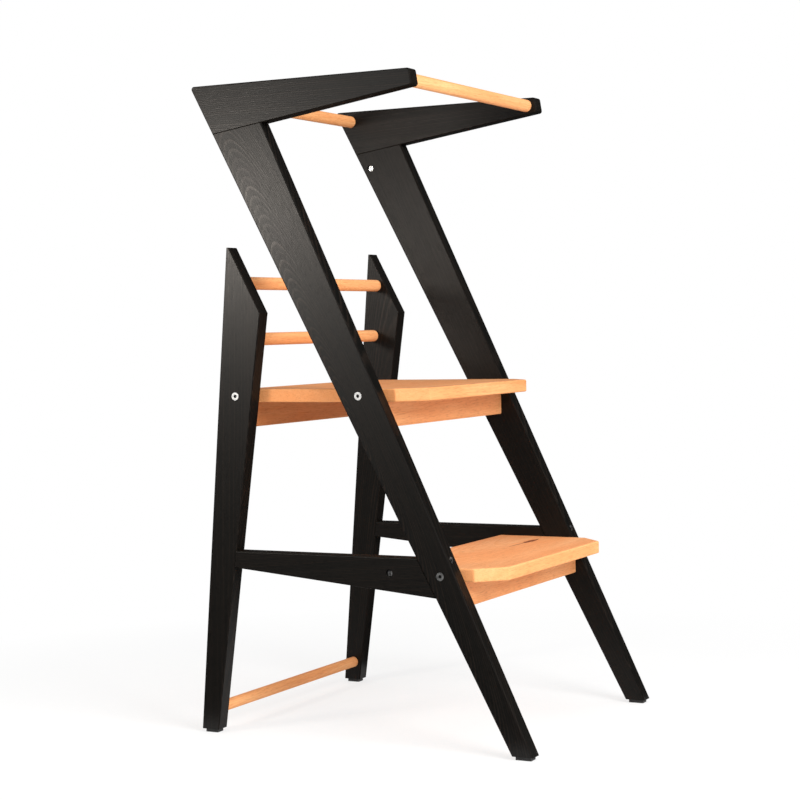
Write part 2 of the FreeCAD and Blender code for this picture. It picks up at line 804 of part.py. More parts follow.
def board_screw(kind, side):
    """Flat headed screw, flush with the frame's outer face, into the board's side."""
    name = f"{kind}_{side}"
    leg_middle, middle = SCREWS[kind]
    place = (leg_middle(middle()), middle())
    into = -SIDES[side]
    face = outer_face(side)
    straight = "(Sizes.screw_length - Sizes.screw_tip_length)"
    under_head = f"({face} + {into} * Sizes.screw_head_height)"
    tip_start = f"({under_head} + {into} * {straight})"
    head = cylinder(f"{name}_head", size("screw_head_diameter"), size("screw_head_height"),
                    (face, *place), inward(side))
    shank = cylinder(f"{name}_shank", size("screw_shank_diameter"), straight,
                     (under_head, *place), inward(side))
    tip = doc.addObject("Part::Cone", f"{name}_tip")
    tip.setExpression("Radius1", "Sizes.screw_shank_diameter / 2")
    tip.setExpression("Radius2", "Sizes.screw_tip_diameter / 2")
    tip.setExpression("Height", size("screw_tip_length"))
    tip.setExpression("Placement", f"placement(vector({tip_start}; {forward(place[0])}; {place[1]}); "
                                   f"{inward(side)})")
    mouth = f"({face} - {into} * {OVERSHOOT})"
    socket = prism(f"{name}_socket", size("screw_socket_circle"), f"Sizes.socket_depth + {OVERSHOOT}",
                   (mouth, *place), inward(side))
    return cut_from(name, joined(f"{name}_body", [head, shank, tip]), [socket])


def bolt(name, side, nut_place, slope, run):
    """Bolt from its barrel nut to the board's edge, run away along slope; its head is sunk."""
    plane = middle_plane(side)
    turn = forward_rising(slope)
    head_top = f"({run} - Sizes.bolt_head_sink)"
    head_low = f"({head_top} - Sizes.bolt_head_height)"
    start = along(*nut_place, slope, "-Sizes.bolt_past_nut")
    shank = cylinder(f"{name}_shank", size("bolt_diameter"), f"{head_low} + Sizes.bolt_past_nut",
                     (plane, *start), turn)
    head = cylinder(f"{name}_head", size("bolt_head_diameter"), size("bolt_head_height"),
                    (plane, *along(*nut_place, slope, head_low)), turn)
    floor = along(*nut_place, slope, f"{head_top} - Sizes.socket_depth")
    socket = prism(f"{name}_socket", size("bolt_socket_circle"), f"Sizes.socket_depth + {OVERSHOOT}",
                   (plane, *floor), turn)
    return cut_from(name, joined(f"{name}_body", [shank, head]), [socket])


def barrel_nut(name, side, facing, place, slope):
    """Round nut across the board; its slotted end shows at the inner or outer face."""
    into = SIDES[side] if facing == "inner" else -SIDES[side]
    turn = ALONG_X if into > 0 else AGAINST_X
    start = f"({middle_plane(side)} - {into} * Sizes.nut_length / 2)"
    blank = cylinder(f"{name}_blank", size("nut_diameter"), size("nut_length"), (start, *place), turn)
    thread_start = along(*place, slope, "-Sizes.nut_diameter")
    thread = cylinder(f"{name}_thread", bolt_hole_width(), "2 * Sizes.nut_diameter",
                      (middle_plane(side), *thread_start), forward_rising(slope))
    slot = doc.addObject("Part::Box", f"{name}_slot")
    slot.setExpression("Length", f"Sizes.nut_slot_depth + {OVERSHOOT}")
    slot.setExpression("Width", "Sizes.nut_slot_width")
    slot.setExpression("Height", "2 * Sizes.nut_diameter")
    low_x = f"({start} - {OVERSHOOT})" if into > 0 else f"({start} - Sizes.nut_slot_depth)"
    slot.setExpression("Placement", f"placement(vector({low_x}; "
                                    f"{forward(place[0])} - Sizes.nut_slot_width / 2; "
                                    f"{place[1]} - Sizes.nut_diameter); {UPRIGHT})")
    return cut_from(name, blank, [thread, slot])


def fasteners(side):
    upright = "Sizes.arm_underside_angle + 90"
    pieces = [board_screw(kind, side) for kind in SCREWS]
    pieces += [
        bolt(f"rail_bolt_{side}", side, rail_nut_place(), size("rail_bolt_angle"), rail_bolt_run()),
        barrel_nut(f"rail_nut_{side}", side, "outer", rail_nut_place(), size("rail_bolt_angle")),
        bolt(f"arm_bolt_{side}", side, arm_nut_place(), upright, arm_bolt_rise()),
        barrel_nut(f"arm_nut_{side}", side, "inner", arm_nut_place(), upright),
    ]
    return pieces


def glide(name, side, foot_length, foot_middle):
    """Pad under a foot with a stud that is pressed into the leg."""
    long = f"({foot_length} - 2 * Sizes.glide_inset)"
    wide = "(Sizes.frame_thickness - 2 * Sizes.glide_inset)"
    pad = doc.addObject("Part::Box", f"{name}_pad")
    pad.setExpression("Length", wide)
    pad.setExpression("Width", long)
    pad.setExpression("Height", size("glide_height"))
    pad.setExpression("Placement", f"placement(vector({middle_plane(side)} - {wide} / 2; "
                                   f"{forward(foot_middle)} - {long} / 2; 0); {UPRIGHT})")
    stud = cylinder(f"{name}_stud", size("glide_stud_diameter"),
                    "Sizes.glide_height + Sizes.glide_stud_length",
                    (middle_plane(side), foot_middle, "0"), UPRIGHT)
    return joined(name, [pad, stud])


# ---------------------------------------------------------------- the stool

def build():
    foot = size("glide_height")
    pieces = [platform(), lower_step()]
    pieces += [apron(name) for name in APRONS]
    pieces += [round_bar(name) for name in BARS]
    for side in SIDES:
        pieces += [front_leg(side), rear_leg(side), arm(side), side_rail(side)]
        pieces += pins(side)
        pieces += fasteners(side)
        pieces.append(glide(f"front_glide_{side}", side, size("front_foot_length"),
                            front_leg_middle(foot)))
        pieces.append(glide(f"rear_glide_{side}", side, size("rear_foot_length"),
                            rear_leg_middle(foot)))
    doc.recompute()
    return pieces


def check(pieces):
    for item in doc.Objects:
        if "Invalid" in item.State or "Error" in item.State:
            raise RuntimeError(f"{item.Label} failed: {item.State}")
    for piece in pieces:
        shape = piece.Shape
        if shape.isNull() or not shape.isValid() or len(shape.Solids) != 1:
            raise RuntimeError(f"{piece.Label} is not one valid solid")
        if piece.TypeId == "Part::Cut" and shape.Volume >= piece.Base.Shape.Volume - 0.1:
            raise RuntimeError(f"nothing was cut from {piece.Label}")


def export(pieces):
    os.makedirs("parts", exist_ok=True)
    for piece in pieces:
        piece.Shape.exportStep(f"parts/{piece.Label}.step")
    box = FreeCAD.BoundBox()
    for piece in pieces:
        box.add(piece.Shape.BoundBox)
    print(len(pieces), "pieces,", f"{box.XLength:.1f} x {box.YLength:.1f} x {box.ZLength:.1f} mm")


make_sheet()
stool = build()
check(stool)
export(stool)
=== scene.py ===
"""Looks of the toddler kitchen helper stool: stained and oiled beech, zinc fasteners, glides.

Metres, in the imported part's own frame: +Z up, the front is -Y, left is -X.
"""

import math

import bpy
from mathutils import Matrix, Vector


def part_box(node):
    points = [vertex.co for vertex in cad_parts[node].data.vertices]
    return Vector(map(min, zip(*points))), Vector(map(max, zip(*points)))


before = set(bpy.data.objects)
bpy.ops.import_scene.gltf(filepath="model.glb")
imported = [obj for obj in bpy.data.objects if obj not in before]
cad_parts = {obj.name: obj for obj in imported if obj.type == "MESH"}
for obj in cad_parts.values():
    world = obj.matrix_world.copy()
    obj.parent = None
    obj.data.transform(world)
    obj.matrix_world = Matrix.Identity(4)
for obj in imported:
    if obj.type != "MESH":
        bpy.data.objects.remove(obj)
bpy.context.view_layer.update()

MM = 0.001
X_AXIS = Vector((1, 0, 0))
Y_AXIS = Vector((0, 1, 0))
Z_AXIS = Vector((0, 0, 1))
NOISE_SPAN = (0.3, 0.7)  # where most of a noise's values lie


# ---------------------------------------------------------------- node graphs

class Graph:
    """Shader nodes of one material, made by short calls that return output sockets."""

    def __init__(self, name):
        self.material = bpy.data.materials.new(name)
        self.material.use_nodes = True
        self.tree = self.material.node_tree
        self.tree.nodes.clear()

    def node(self, kind, inputs=None, **settings):
        node = self.tree.nodes.new(kind)
        for key, value in settings.items():
            setattr(node, key, value)
        for key, value in (inputs or {}).items():
            self.put(value, node.inputs[key])
        return node

    def put(self, value, socket):
        if isinstance(value, bpy.types.NodeSocket):
            self.tree.links.new(value, socket)
        else:
            socket.default_value = value

    def math(self, operation, first, second=0.0, clamp=False):
        node = self.node("ShaderNodeMath", operation=operation, use_clamp=clamp)
        self.put(first, node.inputs[0])
        self.put(second, node.inputs[1])
        return node.outputs[0]

    def vector(self, operation, first, second=(0, 0, 0)):
        node = self.node("ShaderNodeVectorMath", operation=operation)
        self.put(first, node.inputs[0])
        self.put(second, node.inputs[1])
        scalar = operation in ("DOT_PRODUCT", "LENGTH")
        return node.outputs["Value" if scalar else "Vector"]

    def combine(self, x, y, z):
        return self.node("ShaderNodeCombineXYZ", {"X": x, "Y": y, "Z": z}).outputs[0]

    def object_place(self):
        return self.node("ShaderNodeTexCoord").outputs["Object"]

    def object_normal(self):
        return self.node("ShaderNodeTexCoord").outputs["Normal"]

    def noise(self, place, scale=(1, 1, 1), detail=2.0, colour=False):
        """scale is how many noise cells there are to a metre, along each axis of place."""
        place = self.vector("MULTIPLY", place, scale)
        node = self.node("ShaderNodeTexNoise", {"Vector": place, "Scale": 1.0, "Detail": detail})
        return node.outputs["Color" if colour else "Fac"]

    def ramp(self, value, stops):
        """stops are pairs of place and grey level."""
        node = self.node("ShaderNodeValToRGB", {"Fac": value})
        node.color_ramp.interpolation = "EASE"
        elements = node.color_ramp.elements
        while len(elements) < len(stops):
            elements.new(1.0)
        for element, (place, grey) in zip(elements, stops):
            element.position = place
            element.color = (grey, grey, grey, 1)
        return node.outputs[0]

    def fit(self, value, low, high, new_low=0.0, new_high=1.0):
        inputs = {"Value": value, "From Min": low, "From Max": high, "To Min": new_low,
                  "To Max": new_high}
        return self.node("ShaderNodeMapRange", inputs).outputs[0]

    def mix(self, share, first, second):
        """A colour mix has its factor and its two colours on sockets 0, 6 and 7."""
        node = self.node("ShaderNodeMix", data_type="RGBA")
        for value, index in ((share, 0), (first, 6), (second, 7)):
            value = (*value, 1) if isinstance(value, tuple) else value
            self.put(value, node.inputs[index])
        return node.outputs[2]

    def bump(self, height, distance):
        inputs = {"Height": height, "Distance": distance, "Strength": 1.0}
        return self.node("ShaderNodeBump", inputs).outputs[0]

    def surface(self, shader):
        output = self.node("ShaderNodeOutputMaterial")
        self.tree.links.new(shader, output.inputs["Surface"])
        return self.material

    def principled(self, **inputs):
        named = {key.replace("_", " "): value for key, value in inputs.items()}
        return self.node("ShaderNodeBsdfPrincipled", named).outputs[0]


# ---------------------------------------------------------------- wood

# colours of the wood's parts, how far each shows, roughness (early wood, late wood, spread),
# specular level (edges, faces) and depth of the relief
BLACK_STAIN = {
    "early": (0.0041, 0.0041, 0.0036),
    "late": (0.0190, 0.0132, 0.0100),
    "fleck": (0.0022, 0.0020, 0.0018),
    "streak": (0.0035, 0.0032, 0.0028),
    "red": (0.0062, 0.0052, 0.0042),
    "edge": (0.0026, 0.0026, 0.0022),
    "end": (0.0042, 0.0040, 0.0034),
    "worn": (0.0260, 0.0190, 0.0140),
    "line_share": 0.78,
    "fleck_share": 0.55,
    "streak_share": 0.40,
    "red_share": 0.35,
    "worn_share": 0.12,
    "rough": (0.39, 0.33, 0.03),
    "level": (0.10, 0.20),
    "bump": 0.06 * MM,
}
DULL_STAIN = dict(BLACK_STAIN, level=(0.10, 0.12))  # of the right frame
OILED_BEECH = {
    "early": (0.870, 0.440, 0.195),
    "late": (0.720, 0.285, 0.098),
    "fleck": (0.400, 0.130, 0.042),
    "streak": (0.760, 0.300, 0.105),
    "red": (0.810, 0.320, 0.115),
    # the edge colour is paler side grain and in part a painted highlight: the front and side edges
    # catch more light
    "edge": (0.890, 0.480, 0.210),
    "end": (0.780, 0.340, 0.135),
    "worn": (0.860, 0.450, 0.200),
    "line_share": 0.45,
    "fleck_share": 0.34,
    "streak_share": 0.65,
    "red_share": 0.85,
    "worn_share": 0.30,
    "rough": (0.52, 0.60, 0.06),
    "level": (0.18, 0.42),
    "bump": 0.05 * MM,
}

RING_WIDTH = 2.2 * MM
RING_WANDER = 4.0 * MM
RING_UNEVEN = 1.1  # how far a ring can stray, in ring widths
RING_PROFILE = [(0.0, 0.0), (0.40, 0.10), (0.80, 1.0), (1.0, 0.0)]  # place in the year, line
RING_STRENGTH = (0.0, 0.8, 0.25, 1.0)  # draws from 0 to 0.8 make a line 0.25 to 1 strong
ROUNDING_ROUGHER = 0.30
ROUNDING_LEVEL = 0.35
RING_RELIEF, FIBRE_RELIEF, FLECK_RELIEF = 0.5, 0.8, 0.6
TONE_POWERS = (1.0, 1.2, 1.5)  # red, green, blue: a darker tone is redder too, on a darker board and in painted shade alike

# noise cells to a metre across the grain, through the board and along the grain
WANDER_SCALE = (14, 14, 4)
UNEVEN_SCALE = (30, 30, 6)
FIBRE_SCALE = (1300, 1300, 40)
STREAK_SCALE = (230, 230, 6)
BLOTCH_SCALE = (22, 22, 6)
FLECK_SCALE = (760, 760, 90)

# levels between which each mark comes in
RED_WINDOW = (0.34, 0.66)
STREAK_WINDOW = (0.40, 0.66)
FIBRE_WINDOW = (0.45, 0.70)
FLECK_WINDOW = (0.54, 0.70)
ROUNDING_WINDOW = (0.04, 0.20)
RUBBED_WINDOW, RUBBED_LEAST = (0.40, 0.60), 0.25

# how the seed of a board moves it through the noise
WANDER_SHIFT = (1.0, 1.7, 0.3)
GRAIN_SHIFT = (0.37, 0.53, 0.11)


def noise_offset(seed, shares):
    return tuple(seed * share for share in shares)


def grain_place(graph, along, thickness, origin, seed):
    """Place in the board: across the grain, through the board, along the grain, in metres."""
    across = along.cross(thickness)
    place = graph.vector("SUBTRACT", graph.object_place(), tuple(origin))
    axes = [graph.vector("DOT_PRODUCT", place, tuple(axis)) for axis in (across, thickness, along)]
    flat = graph.combine(*axes)
    wander_place = graph.vector("MULTIPLY", flat, WANDER_SCALE)
    wander_place = graph.vector("ADD", wander_place, noise_offset(seed, WANDER_SHIFT))
    wander = graph.noise(wander_place, colour=True)
    wander = graph.vector("SUBTRACT", wander, (0.5, 0.5, 0.5))
    wander = graph.vector("MULTIPLY", wander, (RING_WANDER, RING_WANDER, 0))
    return graph.vector("ADD", flat, wander)


def ring_lines(graph, place, pith, tilt, width, narrow):
    """0 to 1, high on the late wood of each year; pith is (across, through, along).

    The arches that a tilted pith draws on a face are narrow times as slim as round rings give.
    """
    split = graph.node("ShaderNodeSeparateXYZ", {"Vector": place})
    across = graph.math("MULTIPLY", graph.math("SUBTRACT", split.outputs["X"], pith[0]), narrow)
    along = graph.math("SUBTRACT", split.outputs["Z"], pith[2])
    deep = graph.math("SUBTRACT", split.outputs["Y"], pith[1])
    deep = graph.math("SUBTRACT", deep, graph.math("MULTIPLY", along, tilt))
    radius = graph.vector("LENGTH", graph.combine(across, deep, 0.0))
    year = graph.math("DIVIDE", radius, width)
    uneven = graph.noise(place, UNEVEN_SCALE)
    year = graph.math("ADD", year, graph.math("MULTIPLY", uneven, RING_UNEVEN))
    line = graph.ramp(graph.math("FRACT", year), RING_PROFILE)
    which = graph.math("FLOOR", year)
    strength = graph.node("ShaderNodeTexWhiteNoise", {"W": which}, noise_dimensions="1D")
    return graph.math("MULTIPLY", line, graph.fit(strength.outputs[0], *RING_STRENGTH))


def wood(name, look, along, thickness, origin, pith, tilt, seed, ring=RING_WIDTH, narrow=1.0,
         tone=1.0, streak=None):
    """Material of a board whose grain runs along; origin is its middle, thickness its axis."""
    graph = Graph(name)
    place = grain_place(graph, along, thickness, origin, seed)
    shifted = graph.vector("ADD", place, noise_offset(seed, GRAIN_SHIFT))
    rings = ring_lines(graph, place, pith, tilt, ring, narrow)
    fine = graph.noise(shifted, FIBRE_SCALE, detail=3)
    broad = graph.noise(shifted, STREAK_SCALE, detail=3)
    blotch = graph.noise(shifted, BLOTCH_SCALE, detail=3)
    fleck = graph.fit(graph.noise(shifted, FLECK_SCALE, detail=1), *FLECK_WINDOW)

    # facing is 1 on the board's faces, 0 on its edges and between on the roundings
    facing = graph.vector("DOT_PRODUCT", graph.object_normal(), tuple(thickness))
    facing = graph.math("MULTIPLY", facing, facing)
    rounding = graph.math("MULTIPLY", facing, graph.math("SUBTRACT", 1.0, facing))
    rounding = graph.fit(rounding, *ROUNDING_WINDOW)
    ending = graph.vector("DOT_PRODUCT", graph.object_normal(), tuple(along))
    ending = graph.math("MULTIPLY", ending, ending)

    # edges take the edge colour; in the oiled beech its paleness is partly painted highlight
    colour = graph.mix(facing, look["edge"], look["early"])
    colour = graph.mix(ending, colour, look["end"])
    red = graph.fit(blotch, *RED_WINDOW, 0.0, look["red_share"])
    colour = graph.mix(red, colour, look["red"])
    dark = graph.fit(broad, *STREAK_WINDOW, 0.0, look["streak_share"])
    colour = graph.mix(dark, colour, look["streak"])
    colour = graph.mix(graph.math("MULTIPLY", rings, look["line_share"]), colour, look["late"])
    fibres = graph.fit(fine, *FIBRE_WINDOW, 0.0, look["fleck_share"] * 0.5)
    colour = graph.mix(fibres, colour, look["fleck"])
    colour = graph.mix(graph.math("MULTIPLY", fleck, look["fleck_share"]), colour, look["fleck"])

    rubbed = graph.fit(blotch, *RUBBED_WINDOW, RUBBED_LEAST, 1.0)
    worn = graph.math("MULTIPLY", graph.math("MULTIPLY", rounding, rubbed), look["worn_share"])
    colour = graph.mix(worn, colour, look["worn"])
    # tone darkens the whole board: its own lightness for most boards, painted shade for the rear
    # apron
    tone_and_shade = tuple(tone ** power for power in TONE_POWERS)
    colour = graph.vector("MULTIPLY", colour, tone_and_shade)
    if streak:
        colour = graph.mix(streak(graph), colour, STREAK_COLOUR)

    height = graph.math("MULTIPLY", rings, RING_RELIEF)
    height = graph.math("ADD", height, graph.math("MULTIPLY", fine, FIBRE_RELIEF))
    height = graph.math("SUBTRACT", height, graph.math("MULTIPLY", fleck, FLECK_RELIEF))
    rough_early, rough_late, rough_spread = look["rough"]
    rough = graph.fit(rings, 0.0, 1.0, rough_early, rough_late)
    spread = graph.fit(fine, *NOISE_SPAN, -rough_spread, rough_spread)
    rough = graph.math("ADD", rough, spread)
    rough = graph.math("ADD", rough, graph.math("MULTIPLY", rounding, ROUNDING_ROUGHER))
    edge_level, face_level = look["level"]
    level = graph.fit(facing, 0.0, 1.0, edge_level, face_level)
    level = graph.math("MULTIPLY", level, graph.fit(rounding, 0.0, 1.0, 1.0, ROUNDING_LEVEL))
    return graph.surface(graph.principled(
        Base_Color=colour, Roughness=rough, Normal=graph.bump(height, look["bump"]),
        Specular_IOR_Level=level))


# the dark mark in the lower step's top, along the grain: its middle (x, y), half length,
# half width and strength
STREAK_COLOUR = (0.200, 0.040, 0.010)
STREAK_HEART = ((128 * MM, -104 * MM), 31 * MM, 7.5 * MM, 1.0)
STREAK_TAIL = ((92 * MM, -103.5 * MM), 50 * MM, 2.4 * MM, 0.75)
STREAK_RAGGED = 0.3  # share of its half width that its rim strays
STREAK_RAGGED_SCALE = (120, 700, 1)
STREAK_SOLID = 0.30  # share of its half width over which it is full
STREAK_LEAST = 0.02 * MM


def lens(graph, middle_place, half_length, half_width, strength):
    """0 to strength inside a slim lens that lies along the width."""
    split = graph.node("ShaderNodeSeparateXYZ", {"Vector": graph.object_place()})
    x = graph.math("SUBTRACT", split.outputs["X"], middle_place[0])
    y = graph.math("SUBTRACT", split.outputs["Y"], middle_place[1])
    ragged = graph.noise(graph.object_place(), STREAK_RAGGED_SCALE)
    stray = STREAK_RAGGED * half_width
    y = graph.math("ADD", y, graph.fit(ragged, *NOISE_SPAN, -stray, stray))
    reach = graph.math("DIVIDE", x, half_length)
    taper = graph.math("SUBTRACT", 1.0, graph.math("MULTIPLY", reach, reach), clamp=True)
    wide = graph.math("MAXIMUM", graph.math("MULTIPLY", taper, half_width), STREAK_LEAST)
    off = graph.math("DIVIDE", graph.math("ABSOLUTE", y), wide)
    return graph.fit(off, STREAK_SOLID, 1.0, strength, 0.0)


def step_streak(graph):
    return graph.math("MAXIMUM", lens(graph, *STREAK_HEART), lens(graph, *STREAK_TAIL))


def leaning(y, z):
    """Unit vector in the side view."""
    return Vector((0, y, z)).normalized()


LEG_END = 0.04  # share of a leg's height that counts as its foot or its head


def lean_of(node):
    """Direction of a leg in the side view, from the ends of its mesh."""
    places = [vertex.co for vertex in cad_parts[node].data.vertices]
    low, high = min(p.z for p in places), max(p.z for p in places)
    reach = LEG_END * (high - low)
    foot = [p.y for p in places if p.z < low + reach]
    head = [p.y for p in places if p.z > high - reach]
    foot_middle = (min(foot) + max(foot)) / 2
    head_middle = (min(head) + max(head)) / 2
    return leaning(head_middle - foot_middle, high - low)


def dress(node, material):
    """Gives a CAD node its finished material, in every slot."""
    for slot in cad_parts[node].material_slots:
        slot.material = material


def middle(node):
    low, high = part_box(node)
    return (low + high) / 2


# frame board kind: pith (across, through, along from the middle), tilt of the pith, ring width,
# slimness of the arches
FRAME_GRAIN = {
    "front_leg": ((12 * MM, 0, 45 * MM), 0.30, 4.4 * MM, 2.6),
    "rear_leg": ((95 * MM, 60 * MM, 0), 0.05, 1.9 * MM, 1.0),
    "arm": ((-60 * MM, 55 * MM, 0), 0.08, 2.0 * MM, 1.0),
    "side_rail": ((70 * MM, 30 * MM, 0), 0.03, 1.8 * MM, 1.0),
}
LEVEL_GRAIN = leaning(-1, 0.07)  # of the arms and side rails
OTHER_LOG = Vector((-130 * MM, 0, 90 * MM))  # the right boards' pith from the left ones'
FIRST_FRAME_SEED, FRAME_SEED_STEP = 3.0, 7.3


def dress_frames():
    seed = FIRST_FRAME_SEED
    for side, look, shift in (("left", BLACK_STAIN, Vector()), ("right", DULL_STAIN, OTHER_LOG)):
        for kind, (pith, tilt, ring, narrow) in FRAME_GRAIN.items():
            node = f"{kind}_{side}"
            along = LEVEL_GRAIN if kind in ("arm", "side_rail") else lean_of(node)
            dress(node, wood(f"stained_{node}", look, along, X_AXIS, middle(node),
                             Vector(pith) + shift, tilt, seed, ring, narrow))
            seed += FRAME_SEED_STEP


# board across the stool: axis through it, pith (across, through, along), tilt of the pith, tone
CROSS_GRAIN = {
    "platform": (Z_AXIS, (40 * MM, -190 * MM, 0), 0.06, 0.91),
    "lower_step": (Z_AXIS, (-30 * MM, -150 * MM, 0), 0.05, 1.08),
    "platform_front_apron": (Y_AXIS, (60 * MM, 90 * MM, 0), 0.05, 0.96),
    # the rear apron's low tone is painted shade: it stands back under the platform, in its shadow
    "platform_rear_apron": (Y_AXIS, (-70 * MM, 60 * MM, 0), 0.04, 0.60),
    "step_apron": (Y_AXIS, (80 * MM, -75 * MM, 0), 0.05, 0.95),
    "top_front_bar": (Z_AXIS, (60 * MM, 20 * MM, 0), 0.03, 0.97),
    "top_rear_bar": (Z_AXIS, (-50 * MM, 45 * MM, 0), 0.04, 0.84),
    "back_bar_upper": (Z_AXIS, (45 * MM, -60 * MM, 0), 0.03, 1.06),
    "back_bar_lower": (Z_AXIS, (-75 * MM, 15 * MM, 0), 0.05, 1.04),
    "low_rear_bar": (Z_AXIS, (65 * MM, -30 * MM, 0), 0.04, 1.00),
}
FIRST_CROSS_SEED, CROSS_SEED_STEP = 101.0, 5.9
PIN_PITH, PIN_TILT, PIN_SEED = (30 * MM, 20 * MM, 0), 0.04, 211.0


def dress_cross_pieces():
    seed = FIRST_CROSS_SEED
    for node, (through, pith, tilt, tone) in CROSS_GRAIN.items():
        streak = step_streak if node == "lower_step" else None
        dress(node, wood(f"oiled_{node}", OILED_BEECH, X_AXIS, through, middle(node), pith, tilt,
                         seed, tone=tone, streak=streak))
        seed += CROSS_SEED_STEP


def dress_pins():
    plain = wood("pin_beech", OILED_BEECH, X_AXIS, Z_AXIS, (0, 0, 0), PIN_PITH, PIN_TILT, PIN_SEED)
    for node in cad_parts:
        if "_pin_" in node:
            dress(node, plain)


# ---------------------------------------------------------------- metal and plastic

ZINC_DARK, ZINC_LIGHT = (0.66, 0.67, 0.68), (0.84, 0.84, 0.83)
ZINC_CRYSTAL = (0.58, 0.60, 0.62)
SOCKET_SHADE = (0.030, 0.028, 0.026)
SOCKET_SHADE_REACH = 4.0 * MM
SOCKET_SHADE_WINDOW = (0.40, 0.92)  # openness of a hollow: painted shade below, plain zinc above
CRYSTAL_SCALE, CRYSTAL_SHARE = 900.0, 0.15
CLOUD_SCALE = (320, 320, 320)
SCRATCH_SCALE = (2600, 900, 5200)
ZINC_ROUGH = (0.22, 0.42)
ZINC_RELIEF = 0.02 * MM
PLASTIC_DARK, PLASTIC_LIGHT = (0.010, 0.010, 0.010), (0.022, 0.021, 0.020)
DUST = (0.085, 0.078, 0.070)
DUST_HEIGHT = 2.5 * MM
DUST_SHARE = 0.5
DUST_WINDOW = (0.4, 0.7)
GRIT_SCALE = (1800, 1800, 1800)
SCUFF_SCALE = (160, 160, 420)
PLASTIC_ROUGH = (0.55, 0.78)
PLASTIC_RELIEF = 0.05 * MM


def zinc():
    """Bright zinc plate, faintly mottled, with painted shade down in the sockets and slots."""
    graph = Graph("zinc_plate")
    place = graph.object_place()
    crystal = graph.node("ShaderNodeTexVoronoi", {"Vector": place, "Scale": CRYSTAL_SCALE})
    cloud = graph.noise(place, CLOUD_SCALE, detail=4)
    scratch = graph.noise(place, SCRATCH_SCALE)
    plate = graph.mix(graph.fit(cloud, *NOISE_SPAN), ZINC_DARK, ZINC_LIGHT)
    crystals = graph.fit(crystal.outputs["Distance"], 0, 1, 0.0, CRYSTAL_SHARE)
    plate = graph.mix(crystals, plate, ZINC_CRYSTAL)
    # painted shade: where ambient occlusion finds a hollow, the zinc's colour goes dark
    hollow = graph.node("ShaderNodeAmbientOcclusion", {"Distance": SOCKET_SHADE_REACH}, samples=8)
    shade_share = graph.fit(hollow.outputs["AO"], *SOCKET_SHADE_WINDOW, 1.0, 0.0)
    plate = graph.mix(shade_share, plate, SOCKET_SHADE)
    rough = graph.fit(graph.math("ADD", cloud, scratch), 0.6, 1.4, *ZINC_ROUGH)
    bump = graph.bump(graph.math("ADD", scratch, cloud), ZINC_RELIEF)
    return graph.surface(graph.principled(Base_Color=plate, Roughness=rough, Normal=bump,
                                          Metallic=1.0))


def glide_plastic():
    """Dull black plastic, scuffed and a little dusty where it meets the floor."""
    graph = Graph("glide_plastic")
    place = graph.object_place()
    grit = graph.noise(place, GRIT_SCALE)
    scuff = graph.noise(place, SCUFF_SCALE, detail=3)
    height = graph.node("ShaderNodeSeparateXYZ", {"Vector": place}).outputs["Z"]
    low = graph.fit(height, 0.0, DUST_HEIGHT, 1.0, 0.0)
    dusty = graph.math("MULTIPLY", low, graph.fit(scuff, *DUST_WINDOW))
    colour = graph.mix(graph.fit(grit, *NOISE_SPAN), PLASTIC_DARK, PLASTIC_LIGHT)
    colour = graph.mix(graph.math("MULTIPLY", dusty, DUST_SHARE), colour, DUST)
    rough = graph.fit(scuff, *NOISE_SPAN, *PLASTIC_ROUGH)
    return graph.surface(graph.principled(Base_Color=colour, Roughness=rough,
                                          Normal=graph.bump(grit, PLASTIC_RELIEF)))


def dress_small_parts():
    plate = zinc()
    plastic = glide_plastic()
    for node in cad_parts:
        if "_glide_" in node:
            dress(node, plastic)
        elif any(word in node for word in ("screw", "bolt", "_nut_")):
            dress(node, plate)


# ---------------------------------------------------------------- studio

CAMERA_PLACE = Vector((-2.4696, -1.2482, 0.5623))
CAMERA_AIM = Vector((0, 0.0414, 0.4565))
CAMERA_ROLL = -1.222  # degrees
FRAME_WIDTHS_AWAY = 2.4141  # focal length in widths of the picture
SENSOR = 36.0  # millimetres


def make_camera():
    data = bpy.data.cameras.new("camera")
    data.sensor_width = SENSOR
    data.lens = FRAME_WIDTHS_AWAY * SENSOR
    camera = bpy.data.objects.new("camera", data)
    look = (CAMERA_AIM - CAMERA_PLACE).to_track_quat("-Z", "Y").to_matrix().to_4x4()
    roll = Matrix.Rotation(math.radians(CAMERA_ROLL), 4, "Z")
    camera.matrix_world = Matrix.Translation(CAMERA_PLACE) @ look @ roll
    bpy.context.scene.collection.objects.link(camera)
    bpy.context.scene.camera = camera


def background_rays(tree):
    """1 on camera, glossy and transmission rays, for which the background is white."""
    rays = tree.nodes.new("ShaderNodeLightPath").outputs
    seen = rays["Is Camera Ray"]
    for kind in ("Is Glossy Ray", "Is Transmission Ray"):
        either = tree.nodes.new("ShaderNodeMath")
        either.operation = "MAXIMUM"
        tree.links.new(seen, either.inputs[0])
        tree.links.new(rays[kind], either.inputs[1])
        seen = either.outputs[0]
    return seen


AMBIENT = 0.55  # the world on the object, where 1 is white


def make_world():
    world = bpy.data.worlds.new("studio")
    bpy.context.scene.world = world
    world.use_nodes = True
    tree = world.node_tree
    background = tree.nodes["Background"]
    background.inputs["Color"].default_value = (1, 1, 1, 1)
    strength = tree.nodes.new("ShaderNodeMapRange")
    strength.inputs["To Min"].default_value = AMBIENT
    strength.inputs["To Max"].default_value = 1.0
    tree.links.new(background_rays(tree), strength.inputs["Value"])
    tree.links.new(strength.outputs[0], background.inputs["Strength"])


FLOOR_HALF = 30.0
FLOOR_CLEAR_FROM = 0.45  # metres from the middle at which the shadow starts to clear
FLOOR_CLEAR_TO = 1.10
FLOOR_SHADOW_SHARE = 0.28
PAPER_SCALE = (60, 60, 60)
FLOOR_DARK, FLOOR_LIGHT = (0.92, 0.92, 0.92), (0.94, 0.94, 0.94)


